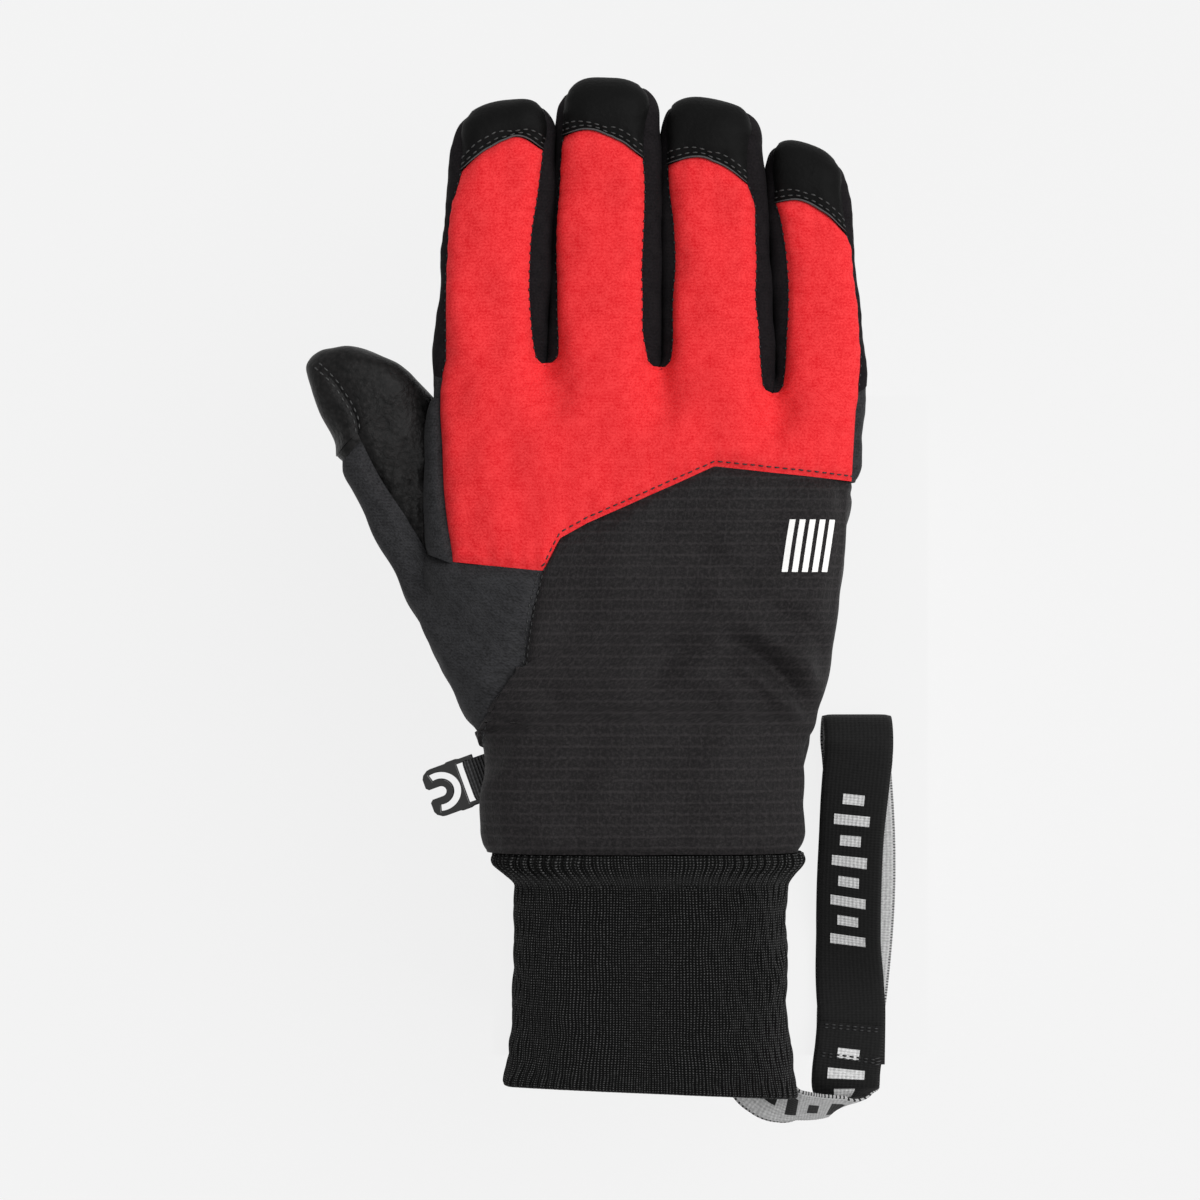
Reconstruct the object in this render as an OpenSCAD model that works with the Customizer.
// Ski glove, right hand, lying palm down: fingers to +Y, thumb to -X, back of the hand to +Z.
// The origin is on the flat palm face, which rests on z = 0.

/* [Hand] */
// Distance from the origin up to the knuckle line, where the fingers begin
knuckle_y = 67; // [62:1:76]
// Thickness of the hand at the knuckle line
knuckle_h = 27; // [25:1:32]
// Thickness of the hand and sleeve at the wrist
wrist_h = 37; // [33:1:42]
// Width across the heel of the hand, at the foot of the thumb
heel_w = 113; // [108:1:118]
// Width of the sleeve at its narrowest place, on the wrist elastic
wrist_w = 90; // [84:1:96]
// Distance from the origin down to the middle of the wrist elastic
wrist_y = 56; // [52:1:60]
// Distance from the origin down to the hem of the sleeve
hem_y = 72.5; // [68:0.5:80]
// Width of the sleeve at its hem
hem_w = 91.5; // [86:0.5:97]
// Shift of the sleeve towards the thumb
sleeve_shift = 2.4; // [0:0.2:4]

/* [Fabric layers] */
// Thickness of the outer fabric and leather
shell_t = 1.2; // [0.8:0.1:1.6]
// Thickness of the flat leather palm
palm_t = 1.3; // [0.9:0.1:1.8]
// Thickness of the wadding on the back of the hand
wadding_t = 2; // [1:0.1:3]
// Thickness of the brushed lining
lining_t = 1.2; // [0.8:0.1:1.8]
// Thickness of the quilted lining inside the fingers and thumb
liner_t = 2.5; // [1.5:0.1:3.2]
// Clearance between one layer and the next
layer_gap = 0.4; // [0.3:0.05:0.6]
// Clearance between two panels that are sewn edge to edge, in degrees round the section
seam_gap = 1.2; // [1:0.1:2]
// Clearance between the two halves of a bending place
bend_gap = 0.6; // [0.5:0.1:0.8]

/* [Fingers] */
// Width of the index finger at the knuckle line
index_w = 32; // [29:0.5:35]
// Width of the middle finger at the knuckle line
middle_w = 32.4; // [29:0.2:35]
// Width of the ring finger at the knuckle line
ring_w = 32; // [29:0.5:35]
// Width of the little finger at the knuckle line
little_w = 25.4; // [23:0.2:29]
// Length of the index finger from the knuckle line
index_len = 77.7; // [70:0.1:84]
// Length of the middle finger from the knuckle line
middle_len = 84; // [76:0.5:90]
// Length of the ring finger from the knuckle line
ring_len = 78.2; // [70:0.1:84]
// Length of the little finger from the knuckle line
little_len = 65.5; // [60:0.5:72]
// Thickness of a finger at the knuckle line
finger_h = 25; // [23:0.5:27]
// Thickness that a finger loses towards its tip
finger_drop = 3; // [0:0.5:5]
// Share of its width that a finger loses towards its tip
finger_taper = 0.19; // [0.17:0.01:0.25]
// Clearance between neighbouring fingers
finger_gap = 1; // [0.9:0.1:1.5]
// Share of the finger's length at which it bends in its middle
curl_share = 0.43; // [0.36:0.01:0.5]
// Length of the rounded end of a fingertip
tip_round = 12; // [10:0.5:14]
// Length of the leather cap over a fingertip
cap_len = 16; // [14.5:0.5:20]
// Sag of the curved seam below the leather cap, at its two ends
cap_arc = 6; // [3:0.5:8]

/* [Thumb] */
// Distance from the origin up to the upper end of the thumb's root
thumb_top_y = 58.6; // [54:0.2:60]
// Distance from the origin down to the lower end of the thumb's root
thumb_low_y = 18; // [14:1:22]
// Thickness of the thumb at its root
thumb_root_h = 16; // [14:0.5:17]
// Thickness of the thumb at its bend and beyond
thumb_h = 21; // [18:0.5:24]
// Width of the thumb at its bend
thumb_bend_w = 31.3; // [28:0.1:34]
// Width of the thumb where its rounded end begins
thumb_end_w = 25; // [22:0.5:28]
// Length of the thumb from its bend to where its rounded end begins
thumb_end_len = 14; // [10:0.5:18]
// Length of the rounded end of the thumb
thumb_round = 12; // [9:0.5:13]
// Angle of the thumb's end to the fingers
thumb_angle = 44; // [36:1:52]

/* [Knit cuff] */
// Thickness of the knitted cuff
knit_t = 2.2; // [1.6:0.1:3]
// Width of the knitted cuff where it is gathered to the hem
knit_top_w = 86; // [82:0.5:90]
// Width of the knitted cuff along its straight stretch
knit_w = 78.6; // [74:0.2:82]
// Width of the knitted cuff at its mouth
knit_mouth_w = 85; // [80:0.5:90]
// Length of the knitted cuff below the hem
knit_len = 71.9; // [60:0.1:80]
// Thickness of the whole knitted cuff
knit_h = 31; // [28:0.5:35]

/* [Emblem] */
// Width of the plain transfer on the back
emblem_w = 17; // [12:0.5:18]
// Height of the plain transfer on the back
emblem_h = 18; // [12:0.5:20]
// Distance of the plain transfer from the middle of the hand
emblem_x = 45; // [43:0.5:46]
// Distance from the origin up to the middle of the plain transfer
emblem_y = 15.5; // [0:0.5:20]
// Thickness of the plain transfer on the back
emblem_t = 0.4; // [0.3:0.05:0.6]

/* [Clip] */
// Width of the moulded clip
clip_w = 15.6; // [15.2:0.1:18]
// Length of the moulded clip from its bar
clip_len = 15; // [14:0.5:18]
// Thickness of the moulded clip
clip_t = 2.4; // [2:0.1:3]
// Outer radius of the clip's C-shaped slot
slot_r = 4.7; // [4.2:0.1:4.8]
// Width of the clip's C-shaped slot
slot_w = 1.6; // [1.2:0.1:1.8]
// Width of the notch that opens the clip's hook
notch_w = 2.2; // [1.8:0.1:2.6]
// Diameter of the clip's bar
bar_d = 2.4; // [2:0.1:2.6]
// Width of the webbing tab round the bar
tab_w = 12; // [10:0.5:12]
// Thickness of the webbing tab
tab_t = 1; // [0.8:0.05:1.1]
// Clearance of the webbing tab round the bar
tab_gap = 0.3; // [0.2:0.05:0.4]
// Angle of the clip below the line square to the sleeve
clip_angle = 20; // [0:1:30]

/* [Wrist leash] */
// Width of the leash webbing
strap_w = 20; // [16:0.5:22]
// Thickness of the leash webbing
strap_t = 1.6; // [1.2:0.1:2]
// Length of the leash loop
loop_len = 88; // [70:1:92]
// Height of the round end of the leash loop
loop_h = 14; // [11:0.5:18]
// Length of the sewn overlap below the loop
overlap_len = 15; // [12:0.5:20]
// Distance of the leash from the middle of the glove
leash_x = 60; // [60:0.5:66]
// Sideways shift of the loop's lower layer
loop_shift = 2; // [0:0.5:3]

/* [Hidden] */

// Exponents of the rounded section: the back is domed and the palm is nearly flat.
back_power = 3;
palm_power = 4;
tip_power = 2.4;

// The four fingers: width, length, sideways lean of the tip, height.
index = [index_w, index_len, 4.8, finger_h];
middle = [middle_w, middle_len, 1.4, finger_h + 0.5];
ring = [ring_w, ring_len, -2.6, finger_h];
little = [little_w, little_len, -5, finger_h - 2];
finger_left = [
    0,
    index_w + finger_gap,
    index_w + middle_w + 2 * finger_gap,
    index_w + middle_w + ring_w + 3 * finger_gap
];
knuckle_w = finger_left[3] + little_w;

// Angles round a section: 0 is the little-finger side, 90 the back, 180 the thumb side.
palm_edge = 45;
strip_edge = 47;
side_edge = 17;
window_top = 181;
thumb_seam = 95;
strip_seam = 112;
liner_angles = [for (i = [0 : 15]) i * 360 / 16];
knit_angles = [for (i = [0 : 23]) i * 360 / 24];

// Depths of the layers below the outer surface.
wadding_d = shell_t + layer_gap;
elastic_t = 0.8;
elastic_w = 8;
elastic_d = wadding_d + wadding_t + layer_gap;
lining_d = elastic_d + elastic_t + layer_gap;
liner_d = shell_t + layer_gap;

// The lower edge of the coloured back panel and the seam of the gusset, as angle and y.
back_edge = [[-palm_edge, 34], [60, 36], [79, 38.3], [105, 20.3], [114, 8.2], [140, 9.3],
    [180 - side_edge, 10.7]];
sleeve_edge = [[-palm_edge, 34], [60, 36], [79, 38.3], [105, 20.3], [114, 8.2], [116, 0],
    [127, -22], [150, -35.4], [180, -42], [180 + palm_edge, -45]];
palm_low_y = -40;

// Angles of the grid lines that the coloured back and the sleeve share across their seam.
shared_angles = [side_edge, 26, 35, 43, 51.5, 60, 69.5, 79, 88, 97, 105, 114];

// Outline of the hand: y against x of each edge, and y against thickness.
hand_right_edge = [
    [-hem_y, hem_w / 2 - sleeve_shift],
    [-wrist_y, wrist_w / 2 - sleeve_shift],
    [-wrist_y + 16, wrist_w / 2 - sleeve_shift + 3],
    [-thumb_low_y, heel_w / 2 - 3.5],
    [12, (heel_w / 2 - 3.5 + knuckle_w / 2) / 2 + 0.8],
    [knuckle_y, knuckle_w / 2]
];
hand_left_edge = [
    [-hem_y, -hem_w / 2 - sleeve_shift],
    [-wrist_y, -wrist_w / 2 - sleeve_shift],
    [-wrist_y + 12, -wrist_w / 2 - sleeve_shift - 0.6],
    [-thumb_low_y - 10, -heel_w / 2 + 1],
    [-thumb_low_y, -heel_w / 2 - 3.5],
    [(thumb_top_y - thumb_low_y) / 2, -(heel_w + knuckle_w) / 4 - 1.75],
    [thumb_top_y, -knuckle_w / 2],
    [knuckle_y, -knuckle_w / 2]
];
hand_thickness = [
    [-hem_y, wrist_h - 1],
    [-wrist_y, wrist_h],
    [-20, wrist_h - 1],
    [30, (wrist_h + knuckle_h) / 2 - 1],
    [knuckle_y, knuckle_h]
];

// Outline of the knitted cuff below the hem.
knit_y = -hem_y - bend_gap / 2;
mouth_y = -hem_y - knit_len;
knit_half = [
    [mouth_y, knit_mouth_w / 2],
    [mouth_y + 22, knit_w / 2 + 0.4],
    [knit_y - 8, knit_w / 2],
    [knit_y, knit_top_w / 2]
];
knit_thickness = [[mouth_y, knit_h + 2], [mouth_y + 22, knit_h],
    [knit_y - 8, knit_h - 1], [knit_y, knit_h + 3]];

// The thumb: its root line, its bend line and the section where its round end begins.
thumb_dir = [-sin(thumb_angle), cos(thumb_angle)];
thumb_across = [cos(thumb_angle), sin(thumb_angle)];
root_gap = [-bend_gap, 0];
thumb_root_right = [-knuckle_w / 2, thumb_top_y] + root_gap;
thumb_root_left = [-heel_w / 2 - 3.5, -thumb_low_y] + root_gap;
thumb_bend_mid = [-knuckle_w / 2 - 17.3, knuckle_y - 14.2];
thumb_end_mid = thumb_bend_mid + thumb_dir * thumb_end_len;

// The clip's bar, and the place where the webbing tab leaves the sleeve.
bar_at = [-wrist_w / 2 - sleeve_shift - 3.4, -wrist_y + 3.6, bar_d / 2 + tab_gap + tab_t + 0.1];
tab_len = 6.1;

// The ends of the leash's sewn overlap, and the height of webbing that lies on the floor.
overlap_y = mouth_y + 8;
loop_low_y = overlap_y + overlap_len;
floor_z = strap_t / 2 + 0.1;

// Value v1 to v2 by share s.
function mix(v1, v2, s) = v1 + (v2 - v1) * s;

// Steps from a to b in n equal parts, both ends included.
function steps(a, b, n) = [for (i = [0 : n]) mix(a, b, i / n)];

// Slope of a table at its point i that never overshoots: the harmonic mean of both sides.
function chord(tab, i) = (tab[i + 1][1] - tab[i][1]) / (tab[i + 1][0] - tab[i][0]);
function slope(tab, i) =
    i == 0 ? chord(tab, 0) :
    i == len(tab) - 1 ? chord(tab, i - 1) :
    let (a = chord(tab, i - 1), b = chord(tab, i))
    a * b <= 0 ? 0 : 2 * a * b / (a + b);

// Smooth value of a table of [place, value] pairs at a place, by cubic pieces.
function piece_of(tab, at, i = 0) = i == len(tab) - 2 || at <= tab[i + 1][0] ? i : piece_of(tab, at, i + 1);
function smooth(tab, at) =
    let (i = piece_of(tab, at), run = tab[i + 1][0] - tab[i][0], s = (at - tab[i][0]) / run)
    (2 * s ^ 3 - 3 * s ^ 2 + 1) * tab[i][1] + (s ^ 3 - 2 * s ^ 2 + s) * run * slope(tab, i)
    + (3 * s ^ 2 - 2 * s ^ 3) * tab[i + 1][1] + (s ^ 3 - s ^ 2) * run * slope(tab, i + 1);

// Sine or cosine raised to a power with its sign kept, for rounded rectangles.
function blunt(value, power) = sign(value) * pow(abs(value), 2 / power);

// Angle on the back at which a section reaches a share of its half width.
function angle_at(share) = acos(pow(share, back_power / 2));

// Point at angle t and depth d on a section that stands on z = 0 between two ground points.
// A shrink below 1 closes the section towards a tip.
function section(right, left, h, t, d, shrink = 1) =
    let (power = sin(t) >= 0 ? back_power : palm_power,
        mid = (right + left) / 2,
        across = (right - left) / norm(right - left),
        half = (norm(right - left) / 2 - d) * shrink,
        p = mid + across * half * blunt(cos(t), power))
    [p[0], p[1], h / 2 + (h / 2 - d) * shrink * blunt(sin(t), power)];

// Surfaces of the hand, the knitted cuff, a finger and the thumb at angle t and depth d.
function hand_point(y, t, d) =
    section([smooth(hand_right_edge, y), y], [smooth(hand_left_edge, y), y],
        smooth(hand_thickness, y), t, d);
function knit_point(y, t, d) =
    section([smooth(knit_half, y), y], [-smooth(knit_half, y), y], smooth(knit_thickness, y), t, d);
function finger_point(f, i, y, round, t, d) =
    let (s = (y - knuckle_y) / f[1],
        x = -knuckle_w / 2 + finger_left[i] + f[0] / 2 + f[2] * s,
        half = f[0] / 2 * (1 - finger_taper * s ^ 2),
        ahead = [0, (tip_round - d) * blunt(sin(round), tip_power)],
        shrink = blunt(cos(round), tip_power))
    section([x + half, y] + ahead, [x - half, y] + ahead, f[3] - finger_drop * s, t, d, shrink);
function thumb_base_point(s, t, d) =
    let (bend = thumb_across * thumb_bend_w / 2, back = thumb_dir * bend_gap / 2)
    section(mix(thumb_root_right, thumb_bend_mid + bend - back, s),
        mix(thumb_root_left, thumb_bend_mid - bend - back, s), mix(thumb_root_h, thumb_h, s), t, d);
function thumb_tip_point(s, round, t, d) =
    let (mid = mix(thumb_bend_mid + thumb_dir * bend_gap / 2, thumb_end_mid, s),
        half = thumb_across * mix(thumb_bend_w, thumb_end_w, s) / 2,
        ahead = thumb_dir * (thumb_round - d) * blunt(sin(round), tip_power))
    section(mid + half + ahead, mid - half + ahead, thumb_h, t, d, blunt(cos(round), tip_power));

// Closed solid between two grids of points, open or joined round into a tube.
module shell(outer, inner, tube = false) {
    rows = len(outer);
    cols = len(outer[0]);
    cells = tube ? cols : cols - 1;
    far = rows * cols;
    points = [for (grid = [outer, inner]) for (row = grid) each row];
    skin = [for (i = [0 : rows - 2]) for (j = [0 : cells - 1])
        let (a = i * cols + j, b = i * cols + (j + 1) % cols)
        each [[a, b, b + cols], [a, b + cols, a + cols]]];
    lining = [for (f = skin) [f[2] + far, f[1] + far, f[0] + far]];
    ends = [for (j = [0 : cells - 1])
        let (a = j, b = (j + 1) % cols, c = (rows - 1) * cols + j, e = (rows - 1) * cols + (j + 1) % cols)
        each [[b, a, a + far], [b, a + far, b + far], [c, e, e + far], [c, e + far, c + far]]];
    edges = tube ? [] : [for (i = [0 : rows - 2])
        let (a = i * cols, c = a + cols, b = a + cols - 1, e = b + cols)
        each [[a, c, c + far], [a, c + far, a + far], [e, b, b + far], [e, b + far, e + far]]];
    polyhedron(points, concat(skin, lining, ends, edges), convexity = 6);
}

// Panel of the hand between two edges y = low(t) and y = high(t), from depth d1 to depth d2.
module hand_panel(angles, rows, low, high, d1, d2) {
    grids = [for (d = [d1, d2]) [for (s = steps(0, 1, rows))
        [for (t = angles) hand_point(mix(low(t), high(t), s), t, d)]]];
    shell(grids[0], grids[1]);
}

// Strip of the lower part of finger f, number i, between two angles.
module base_strip(f, i, t1, t2, parts) {
    grids = [for (d = [0, shell_t]) [for (y = steps(knuckle_y + bend_gap / 2, curl_y(f) - bend_gap / 2, 4))
        [for (t = steps(t1, t2, parts)) finger_point(f, i, y, 0, t, d)]]];
    shell(grids[0], grids[1]);
}

// Strip of the end part of finger f, number i, that runs right over the tip.
module tip_strip(f, i, t1, t2, parts) {
    grids = [for (d = [0, shell_t]) [for (p = tip_stations(f, curl_y(f) + bend_gap / 2, 3))
        [for (t = steps(t1, t2, parts)) finger_point(f, i, p[0], p[1], t, d)]]];
    shell(grids[0], grids[1]);
}

// Height at which finger f bends in its middle, and where its rounded end begins.
function curl_y(f) = knuckle_y + f[1] * curl_share;
function round_y(f) = knuckle_y + f[1] - tip_round;

// Stations of a fingertip: [y, angle over the rounded end].
tip_angles = [22, 42, 60, 76, 88];
function tip_stations(f, from, parts) = concat(
    [for (y = steps(from, round_y(f), parts)) [y, 0]],
    [for (a = tip_angles) [round_y(f), a]]);

// Seam between a finger's coloured strip and its leather cap.
function cap_seam(f, t) = knuckle_y + f[1] - cap_len - cap_arc * ((t - 90) / (90 - strip_edge)) ^ 2;

/* ---- Hand ---- */

// Coloured back of the hand, from the knuckles to its curved lower seam.
module back_panel() {
    color("#e8383a")
        hand_panel(concat(shared_angles, steps(122, 180 - side_edge, 4)), 9,
            function (t) lookup(t, back_edge) + layer_gap, function (t) knuckle_y - bend_gap / 2,
            0, shell_t);
}

// Flat leather palm: it reaches the thumb's root where the side is open.
module palm_panel() {
    color("#161616") linear_extrude(palm_t) palm_outline(layer_gap);
}

// Outline of the flat palm, drawn in by a margin from the side panels and the bends.
module palm_outline(margin) {
    share = blunt(cos(palm_edge), palm_power);
    ys = steps(palm_low_y + margin, knuckle_y - bend_gap / 2, 18);
    right = [for (y = ys) [palm_x(y, share) - margin, y]];
    left = [for (y = ys)
        [open_side(y) ? smooth(hand_left_edge, y) + margin : palm_x(y, -share) + margin, y]];
    polygon(concat(right, [for (i = [len(left) - 1 : -1 : 0]) left[i]]));
}

// Places on the palm side: a share of the half width, and whether the side is open to the thumb.
function palm_x(y, share) =
    let (r = smooth(hand_right_edge, y), l = smooth(hand_left_edge, y))
    (r + l) / 2 + share * (r - l) / 2;
function open_side(y) = y > -thumb_low_y + 2 && y < thumb_top_y - 2;

// Dark side panel between the coloured back and the thumb, up to the index finger.
module index_side_panel() {
    color("#2a2b2e")
        hand_panel(concat(steps(180 - side_edge + seam_gap, window_top, 3),
                          steps(window_top + 1, 180 + palm_edge, 5)),
            8, function (t) (t > window_top ? thumb_top_y : lookup(180 - side_edge, back_edge)) + layer_gap,
            function (t) knuckle_y - bend_gap / 2, 0, shell_t);
}

// Dark side panel of the hand under the little finger.
module little_side_panel() {
    color("#2a2b2e")
        hand_panel(steps(-palm_edge, side_edge - seam_gap, 8), 4,
            function (t) lookup(t, back_edge) + layer_gap, function (t) knuckle_y - bend_gap / 2,
            0, shell_t);
}

// Stretch panel at the foot of the thumb, on the back and round the heel of the hand.
module thumb_gusset() {
    color("#303134")
        hand_panel(concat([116 + seam_gap, 122, 130, 140, 150, 160, 170, window_top],
            steps(window_top + 1, 180 + palm_edge, 6)), 9,
            function (t) lookup(t, sleeve_edge) + layer_gap,
            function (t) t > window_top ? -thumb_low_y - layer_gap : lookup(t, back_edge),
            0, shell_t);
}

// Ripstop sleeve over the back of the wrist and both its sides.
module gauntlet_back() {
    color("#262426")
        hand_panel(concat(steps(-palm_edge, 6.7, 5), shared_angles, [116],
                          steps(127, 180 + palm_edge, 9)),
            16, function (t) -hem_y, function (t) lookup(t, sleeve_edge), 0, shell_t);
}

// Ripstop sleeve under the wrist.
module gauntlet_palm() {
    color("#262426")
        hand_panel(steps(180 + palm_edge + seam_gap, 360 - palm_edge - seam_gap, 8), 5,
            function (t) -hem_y, function (t) palm_low_y, 0, shell_t);
}

// Knitted cuff, a tube that is gathered to the hem and opens at the mouth.
module knit_cuff() {
    ys = concat([mouth_y, mouth_y + 6, mouth_y + 14], steps(mouth_y + 22, knit_y - 8, 3),
        [knit_y - 4, knit_y]);
    grids = [for (d = [0, knit_t]) [for (y = ys) [for (t = knit_angles) knit_point(y, t, d)]]];
    color("#1a1a1b") shell(grids[0], grids[1], tube = true);
}

// Wadding under the back of the hand.
module back_insulation() {
    color("#d8d8d4")
        hand_panel(steps(12, 168, 14), 20, function (t) -hem_y + 2, function (t) knuckle_y - 1,
            wadding_d, wadding_d + wadding_t);
}

// Elastic across the back of the wrist, between the wadding and the lining.
module wrist_elastic() {
    color("#e8e8e8")
        hand_panel(steps(25, 155, 12), 1,
            function (t) -wrist_y - elastic_w / 2, function (t) -wrist_y + elastic_w / 2,
            elastic_d, elastic_d + elastic_t);
}

// Brushed lining under the back of the hand.
module back_lining() {
    color("#3a3b40")
        hand_panel(steps(8, 172, 14), 20, function (t) -hem_y + 2, function (t) knuckle_y - 1,
            lining_d, lining_d + lining_t);
}

// Brushed lining on the inside of the palm.
module palm_lining() {
    color("#3a3b40") translate([0, 0, palm_t + layer_gap]) linear_extrude(lining_t) palm_outline(3);
}

// Plain transfer on the sleeve, below the little finger.
module emblem() {
    half = smooth(hand_right_edge, emblem_y);
    first = angle_at((emblem_x + emblem_w / 2) / half);
    last = angle_at((emblem_x - emblem_w / 2) / half);
    color("#f2f2f2")
        hand_panel(steps(first, last, 4), 3,
            function (t) emblem_y - emblem_h / 2, function (t) emblem_y + emblem_h / 2,
            -layer_gap / 2 - emblem_t, -layer_gap / 2);
}

/* ---- Fingers ---- */

// Coloured strip on the back of a finger, below its middle bend.
module base_back(f, i) {
    color("#e8383a") base_strip(f, i, strip_edge, 180 - strip_edge, 7);
}

// Leather strip on the palm side of a finger, below its middle bend.
module base_palm(f, i) {
    color("#161616") base_strip(f, i, 180 + palm_edge + seam_gap, 360 - palm_edge - seam_gap, 6);
}

// The two side strips of a finger, below its middle bend.
module base_sides(f, i) {
    color("#2a2b2e") {
        base_strip(f, i, -palm_edge, strip_edge - seam_gap, 8);
        base_strip(f, i, 180 - strip_edge + seam_gap, 180 + palm_edge, 8);
    }
}

// Quilted lining tube inside a finger, below its middle bend.
module base_liner(f, i) {
    grids = [for (d = [liner_d, liner_d + liner_t])
        [for (y = steps(knuckle_y + bend_gap / 2, curl_y(f) - bend_gap / 2, 4))
        [for (t = liner_angles) finger_point(f, i, y, 0, t, d)]]];
    color("#3a3b40") shell(grids[0], grids[1], tube = true);
}

// Coloured strip on the back of a fingertip, up to the leather cap.
module tip_back(f, i) {
    low = curl_y(f) + bend_gap / 2;
    grids = [for (d = [0, shell_t]) [for (s = steps(0, 1, 4))
        [for (t = steps(strip_edge, 180 - strip_edge, 7))
        finger_point(f, i, mix(low, cap_seam(f, t) - layer_gap, s), 0, t, d)]]];
    color("#e8383a") shell(grids[0], grids[1]);
}

// Leather cap over the back of a fingertip.
module tip_cap(f, i) {
    grids = [for (d = [0, shell_t]) [for (p = tip_stations(f, 0, 1))
        [for (t = steps(strip_edge, 180 - strip_edge, 7))
        finger_point(f, i, p[0] == 0 ? cap_seam(f, t) : p[0], p[1], t, d)]]];
    color("#161616") shell(grids[0], grids[1]);
}

// Leather strip on the palm side of a fingertip.
module tip_palm(f, i) {
    color("#161616") tip_strip(f, i, 180 + palm_edge + seam_gap, 360 - palm_edge - seam_gap, 6);
}

// The two side strips of a fingertip, which meet over the tip.
module tip_sides(f, i) {
    color("#2a2b2e") {
        tip_strip(f, i, -palm_edge, strip_edge - seam_gap, 8);
        tip_strip(f, i, 180 - strip_edge + seam_gap, 180 + palm_edge, 8);
    }
}

// Quilted lining inside a fingertip, closed at its end.
module tip_liner(f, i) {
    grids = [for (d = [liner_d, liner_d + liner_t]) [for (p = tip_stations(f, curl_y(f) + bend_gap / 2, 3))
        [for (t = liner_angles) finger_point(f, i, p[0], p[1], t, d)]]];
    color("#3a3b40") shell(grids[0], grids[1], tube = true);
}

/* ---- Thumb ---- */

// Part of the thumb's base between two angles, from depth d1 to depth d2.
module thumb_base(angles, d1, d2, tube = false) {
    grids = [for (d = [d1, d2]) [for (s = steps(0, 1, 8)) [for (t = angles) thumb_base_point(s, t, d)]]];
    shell(grids[0], grids[1], tube);
}

// Part of the thumb's end between two angles, from depth d1 to depth d2.
module thumb_tip(angles, d1, d2, tube = false) {
    stations = concat([for (s = steps(0, 1, 3)) [s, 0]], [for (a = tip_angles) [1, a]]);
    grids = [for (d = [d1, d2]) [for (p = stations) [for (t = angles) thumb_tip_point(p[0], p[1], t, d)]]];
    shell(grids[0], grids[1], tube);
}

// Leather on the palm side and the inner side of the thumb.
module thumb_base_leather() {
    color("#161616") thumb_base(steps(palm_edge + seam_gap - 180, thumb_seam - seam_gap, 17), 0, shell_t);
}

// Stretch fabric on the outer back of the thumb.
module thumb_base_softshell() {
    color("#303134") thumb_base(steps(thumb_seam, 180 + palm_edge, 11), 0, shell_t);
}

// Quilted lining tube inside the thumb's base.
module thumb_base_liner() {
    color("#3a3b40") thumb_base(liner_angles, liner_d, liner_d + liner_t, tube = true);
}

// Leather round the end of the thumb.
module thumb_tip_leather() {
    color("#161616") thumb_tip(steps(palm_edge + seam_gap - 180, strip_seam - seam_gap, 18), 0, shell_t);
}

// Leather strip on the outer side of the thumb's end.
module thumb_tip_strip() {
    color("#202020") thumb_tip(steps(strip_seam, 180 + palm_edge, 9), 0, shell_t);
}

// Quilted lining inside the thumb's end, closed at its tip.
module thumb_tip_liner() {
    color("#3a3b40") thumb_tip(liner_angles, liner_d, liner_d + liner_t, tube = true);
}

/* ---- Clip ---- */

// Moves a shape drawn along -X from the bar to the bar's place on the sleeve.
module at_bar() {
    translate(bar_at) rotate([0, 0, clip_angle]) children();
}

// Webbing tab: a flat tail from the sleeve's lower seam and a ring round the clip's bar.
module clip_tab() {
    ring_r = bar_d / 2 + tab_gap;
    color("#1c1c1d") at_bar() rotate([90, 0, 0]) linear_extrude(tab_w, center = true) difference() {
        union() {
            circle(r = ring_r + tab_t, $fn = 32);
            translate([0, -tab_t]) square([tab_len, 2 * tab_t]);
        }
        circle(r = ring_r, $fn = 32);
    }
}

// Moulded clip: bar, slit, cross piece and an open hook of two pads round an inner arc.
module clip_hook() {
    slit = bar_d / 2 + tab_gap + tab_t + 0.4;
    arm = (clip_w - tab_w) / 2 - tab_gap;
    hook_x = clip_len - clip_w / 2 + 1.5;
    color("#0e0e0f") at_bar() rotate([0, 0, 180]) {
        rotate([90, 0, 0]) cylinder(d = bar_d, h = clip_w, center = true, $fn = 24);
        translate([0, 0, -clip_t / 2]) linear_extrude(clip_t) difference() {
            translate([0, -clip_w / 2]) square([clip_len, clip_w]);
            translate([-1, -clip_w / 2 + arm]) square([slit + 1, clip_w - 2 * arm]);
            difference() {
                translate([hook_x, 0]) circle(r = slot_r, $fn = 48);
                translate([hook_x, 0]) circle(r = slot_r - slot_w, $fn = 48);
                translate([hook_x - slot_r - 1, -1]) square([slot_r, 2]);
            }
            translate([hook_x, -notch_w / 2]) square([clip_w, notch_w]);
            for (side = [1, -1])
                translate([clip_len, side * clip_w / 2]) rotate(45) square(3, center = true);
        }
    }
}

/* ---- Leash ---- */

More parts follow.
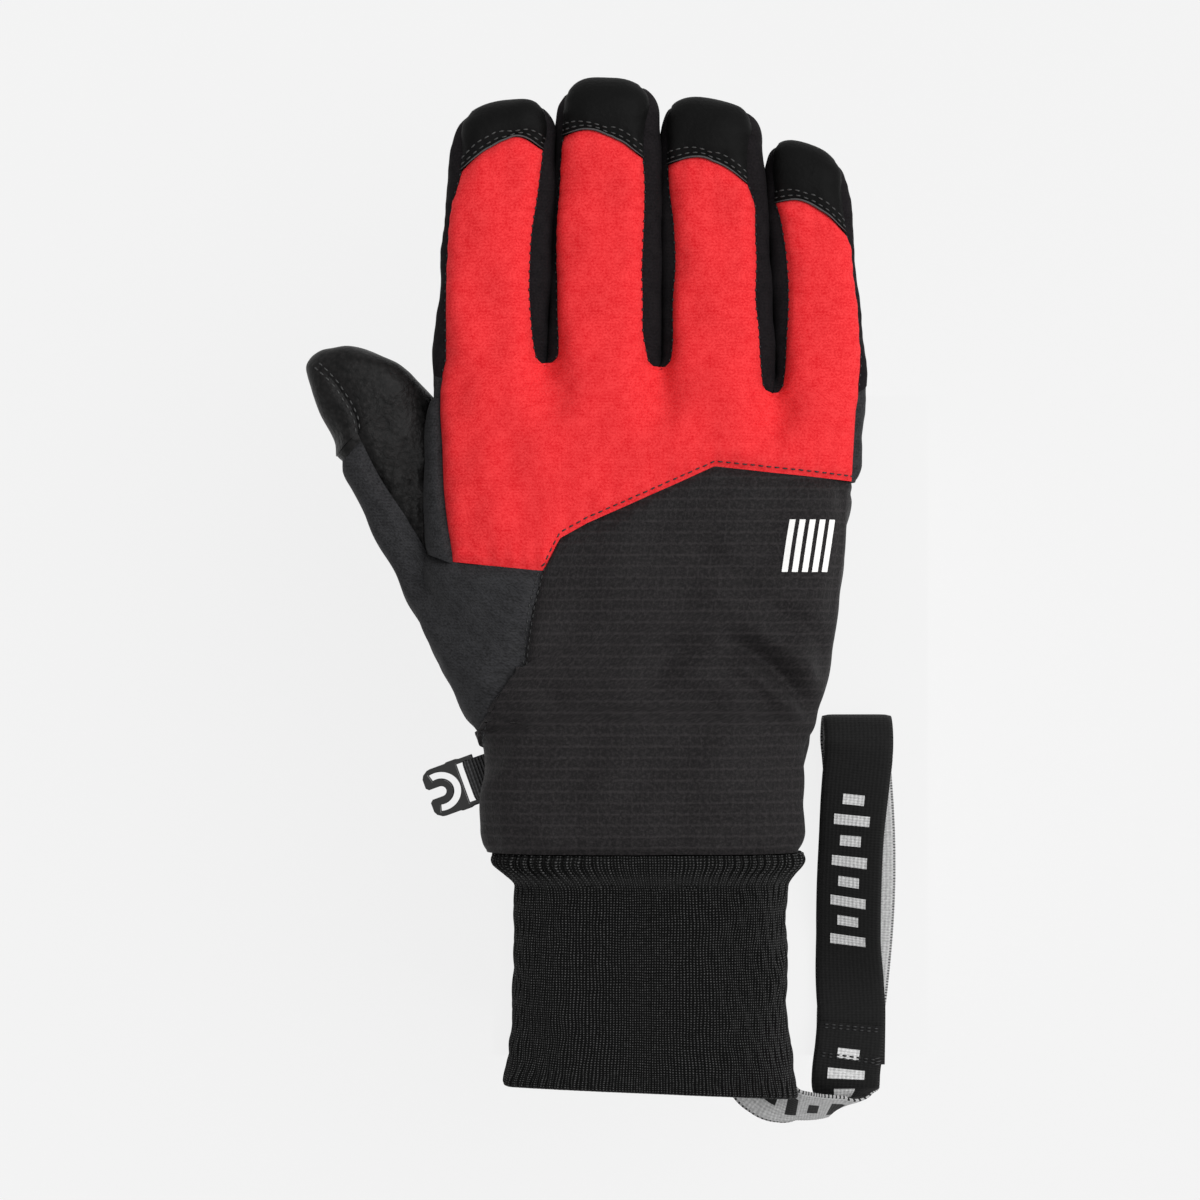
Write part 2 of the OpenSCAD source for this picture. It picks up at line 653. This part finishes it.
// Flat webbing along frames of [centre, direction across], open or closed into a loop.
module webbing(frames, closed = false) {
    count = len(frames);
    grids = [for (side = [1, -1]) [for (i = [0 : closed ? count : count - 1])
        let (f = frames[i % count],
            next = frames[closed ? (i + 1) % count : min(i + 1, count - 1)][0],
            last = frames[closed ? (i + count - 1) % count : max(i - 1, 0)][0],
            along = next - last,
            across = f[1] / norm(f[1]),
            up = cross(across, along) / norm(cross(across, along)) * strap_t / 2 * side)
        [f[0] + across * strap_w / 2 + up, f[0] - across * strap_w / 2 + up]]];
    if (closed) {
        rings = [for (i = [0 : count - 1]) concat(grids[0][i], [grids[1][i][1], grids[1][i][0]])];
        polyhedron([for (r = rings) each r], [for (i = [0 : count - 1]) for (j = [0 : 3])
            let (a = i * 4 + j, b = i * 4 + (j + 1) % 4, c = ((i + 1) % count) * 4)
            each [[a, b, c + (j + 1) % 4], [a, c + (j + 1) % 4, c + j]]], convexity = 6);
    } else {
        shell(grids[0], grids[1]);
    }
}

// Leash loop: up along its top layer, round the end and back along the floor.
module leash_loop() {
    end_r = loop_h / 2 - strap_t / 2;
    end_y = loop_low_y + loop_len - loop_h / 2;
    low = loop_low_y + 0.4;
    rise = function (s) mix(floor_z + strap_t + 0.4, floor_z + 2 * end_r, s * s * (3 - 2 * s));
    top = [for (s = steps(0, 0.9, 7)) [[leash_x, mix(low, end_y, s), rise(s)], [1, 0, 0]]];
    turn = [for (a = steps(90, -90, 6)) [[leash_x + loop_shift * (90 - a) / 180,
        end_y + end_r * cos(a), floor_z + end_r + end_r * sin(a)], [1, 0, 0]]];
    back = [for (s = steps(0.9, 0, 7))
        [[leash_x + loop_shift * s, mix(low, end_y, s), floor_z], [1, 0, 0]]];
    color("#1b1b1c") webbing(concat(top, turn, back), closed = true);
}

// Leash tail: the sewn overlap, then the turn into the mouth of the cuff.
module leash_tail() {
    z = floor_z + strap_t / 2 + 0.2;
    frames = [
        [[20, mouth_y + 6, 5.2], [1, 0, 0]],
        [[21.5, mouth_y - 1, 5], [1, 0.1, 0]],
        [[28, mouth_y - 6, 3.8], [1, 0.35, 0]],
        [[38, mouth_y - 8, 4], [1, 0.2, 0]],
        [[48, mouth_y - 7.6, 7.5], [1, 0, 0.35]],
        [[leash_x - 5, mouth_y - 5, 10], [1, -0.2, 0.2]],
        [[leash_x - 1.5, mouth_y, 9], [1, -0.1, 0]],
        [[leash_x, overlap_y - 3, 5], [1, 0, 0]],
        [[leash_x, overlap_y, z + 0.6], [1, 0, 0]]
    ];
    color("#1b1b1c") {
        webbing(frames);
        translate([leash_x - strap_w / 2, overlap_y + 0.2, 0.1])
            cube([strap_w, overlap_len - 0.4, 2 * strap_t + 0.4]);
    }
}

back_panel();
palm_panel();
index_side_panel();
little_side_panel();
thumb_gusset();
gauntlet_back();
gauntlet_palm();
knit_cuff();
back_insulation();
back_lining();
palm_lining();
wrist_elastic();
emblem();
clip_tab();
base_back(index, 0);  // index_base_back
base_palm(index, 0);  // index_base_palm
base_sides(index, 0);  // index_base_sides
base_liner(index, 0);  // index_base_liner
tip_back(index, 0);  // index_tip_back
tip_cap(index, 0);  // index_tip_cap
tip_palm(index, 0);  // index_tip_palm
tip_sides(index, 0);  // index_tip_sides
tip_liner(index, 0);  // index_tip_liner
base_back(middle, 1);  // middle_base_back
base_palm(middle, 1);  // middle_base_palm
base_sides(middle, 1);  // middle_base_sides
base_liner(middle, 1);  // middle_base_liner
tip_back(middle, 1);  // middle_tip_back
tip_cap(middle, 1);  // middle_tip_cap
tip_palm(middle, 1);  // middle_tip_palm
tip_sides(middle, 1);  // middle_tip_sides
tip_liner(middle, 1);  // middle_tip_liner
base_back(ring, 2);  // ring_base_back
base_palm(ring, 2);  // ring_base_palm
base_sides(ring, 2);  // ring_base_sides
base_liner(ring, 2);  // ring_base_liner
tip_back(ring, 2);  // ring_tip_back
tip_cap(ring, 2);  // ring_tip_cap
tip_palm(ring, 2);  // ring_tip_palm
tip_sides(ring, 2);  // ring_tip_sides
tip_liner(ring, 2);  // ring_tip_liner
base_back(little, 3);  // little_base_back
base_palm(little, 3);  // little_base_palm
base_sides(little, 3);  // little_base_sides
base_liner(little, 3);  // little_base_liner
tip_back(little, 3);  // little_tip_back
tip_cap(little, 3);  // little_tip_cap
tip_palm(little, 3);  // little_tip_palm
tip_sides(little, 3);  // little_tip_sides
tip_liner(little, 3);  // little_tip_liner
thumb_base_leather();
thumb_base_softshell();
thumb_base_liner();
thumb_tip_leather();
thumb_tip_strip();
thumb_tip_liner();
clip_hook();
leash_loop();
leash_tail();
